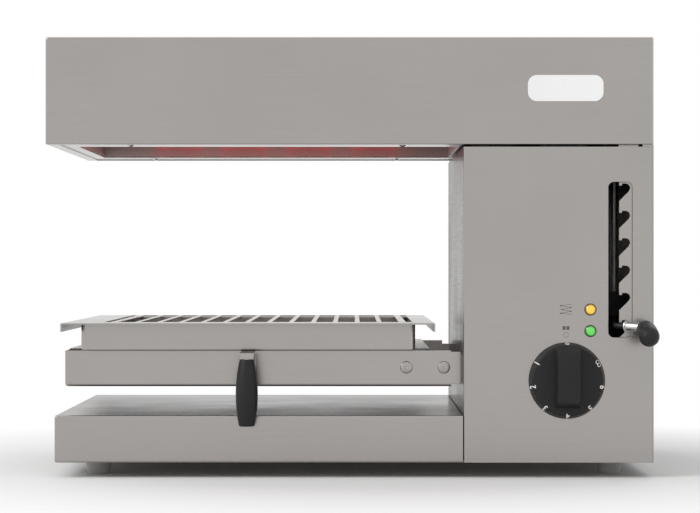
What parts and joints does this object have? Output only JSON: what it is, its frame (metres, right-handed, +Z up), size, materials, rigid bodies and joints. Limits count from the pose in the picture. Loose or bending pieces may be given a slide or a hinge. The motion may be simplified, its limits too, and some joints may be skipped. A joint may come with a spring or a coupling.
{
  "type": "cheese melter",
  "caption": "Electric cheese melter: a heated hood over a slotted grid and drip tray on a lift that a side lever locks at set heights, with a dial and pilot lamps.",
  "frame": {"origin": "on the floor, under the middle of the casing", "axes": "+X to the right seen from the front, +Y to the back, +Z up; the front faces -Y"},
  "size_m": [0.6, 0.482, 0.435],
  "materials": {
    "stainless": "fine satin brushed",
    "aluminised_steel": "matt, heat-tinted",
    "zinc_steel": "bright zinc plated",
    "bright_steel": "ground and polished",
    "black_steel": "black oxide, satin",
    "bronze": "sintered, oiled",
    "heater_sheath": "oxidised nickel alloy, glowing red",
    "mineral_board": "pressed mineral fibre",
    "white_plate": "white enamel",
    "foot_rubber": "grey moulded rubber",
    "black_plastic": "black phenolic, satin",
    "switch_plastic": "glazed off-white",
    "amber_lens": "translucent amber, lit",
    "green_lens": "translucent green, lit"
  },
  "bodies": {
    "casing": {"badge_plate": "white_plate", "base_shell": "stainless", "cable_gland": "black_plastic", "casing_screws": "zinc_steel", "column_rear_panel": "stainless", "column_shell": "stainless", "column_top_plate": "stainless", "energy_regulator": "switch_plastic", "floor_plate": "aluminised_steel", "foot_front_left": "foot_rubber", "foot_front_right": "foot_rubber", "foot_rear_left": "foot_rubber", "foot_rear_right": "foot_rubber", "foot_screws": "zinc_steel", "front_guide_rod": "bright_steel", "front_lift_spring": "bright_steel", "gland_locknut": "black_plastic", "heater_flanges": "zinc_steel", "heater_hangers": "zinc_steel", "heater_reflector": "aluminised_steel", "heating_element_1": "heater_sheath", "heating_element_2": "heater_sheath", "heating_element_3": "heater_sheath", "heating_element_4": "heater_sheath", "heating_lamp_lens": "amber_lens", "hood_rear_panel": "stainless", "hood_shell": "stainless", "hood_spacers": "stainless", "hood_underside": "stainless", "insulation_board": "mineral_board", "lamp_bodies": "black_plastic", "notch_plate": "stainless", "notch_plate_nuts": "zinc_steel", "power_lamp_lens": "green_lens", "rear_guide_rod": "bright_steel", "rear_lift_spring": "bright_steel", "regulator_nut": "zinc_steel", "rod_seats": "black_steel", "side_cover": "stainless", "terminal_block": "switch_plastic", "wire_grommet": "foot_rubber"},
    "carriage": {"front_slider": "black_steel", "rear_slider": "black_steel", "slide_bushes": "bronze", "carriage_crossbar": "black_steel", "carriage_side_bar": "stainless", "front_arm": "stainless", "rear_arm": "stainless", "support_frame": "stainless", "arm_bolts": "stainless", "arm_nuts": "zinc_steel", "handle_bracket": "stainless", "handle_grip": "black_plastic"},
    "lever": {"lever_arm": "black_steel", "lever_collar": "zinc_steel", "lever_grip": "black_plastic"},
    "knob": {"control_knob": "black_plastic", "regulator_spindle": "bright_steel"},
    "tray": {"drip_tray": "stainless"},
    "grid": {"grill_grid": "stainless"}
  },
  "joints": [
    {"name": "carriage_lift", "type": "slide", "parent": "casing", "child": "carriage", "axis": [0, 0, 1], "range_m": [0, 0.135], "deforming": ["front_lift_spring", "rear_lift_spring"]},
    {"name": "lever_swing", "type": "hinge", "parent": "carriage", "child": "lever", "pos_m": [0.271, -0.1, 0.1504], "axis": [0, 0, 1], "range_deg": [-2, 4.8]},
    {"name": "knob_turn", "type": "hinge", "parent": "casing", "child": "knob", "pos_m": [0.2143, -0.2, 0.096], "axis": [0, 1, 0], "range_deg": [0, 300]},
    {"name": "tray_slide", "type": "slide", "parent": "carriage", "child": "tray", "axis": [0, -1, 0], "range_m": [0, 0.3]},
    {"name": "grid_slide", "type": "slide", "parent": "tray", "child": "grid", "axis": [0, -1, 0], "range_m": [0, 0.3]}
  ]
}
